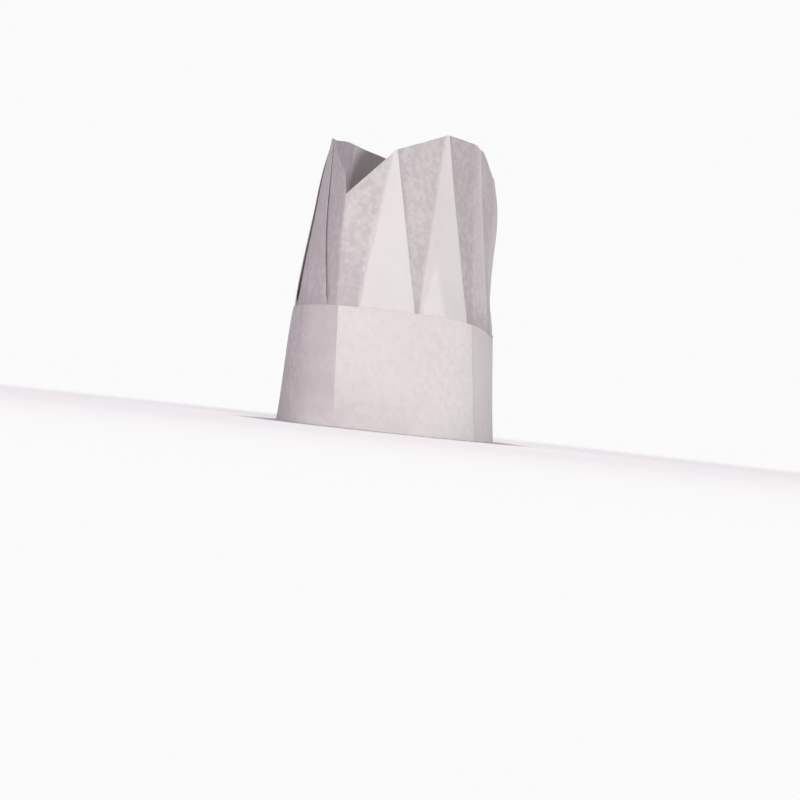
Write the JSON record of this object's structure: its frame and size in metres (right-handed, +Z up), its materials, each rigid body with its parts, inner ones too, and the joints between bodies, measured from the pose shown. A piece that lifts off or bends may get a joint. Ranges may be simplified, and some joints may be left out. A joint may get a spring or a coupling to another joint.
{
  "type": "chef hat",
  "caption": "Tall white disposable chef hat of non-woven paper cloth, with a smooth folded band, a pleated crown and an open top with a notch at the front and the back.",
  "frame": {"origin": "middle of the rim, on the surface that the hat stands on", "axes": "+Z up, the front crease looks towards -Y, the wearer's left side towards +X"},
  "size_m": [0.168, 0.2466, 0.23],
  "materials": {
    "crown_cloth": "matt non-woven paper cloth, mottled where it is one layer",
    "band_cloth": "matt non-woven paper cloth, smooth and doubled"
  },
  "bodies": {
    "root": {"crown": "crown_cloth", "band": "band_cloth"}
  },
  "joints": []
}
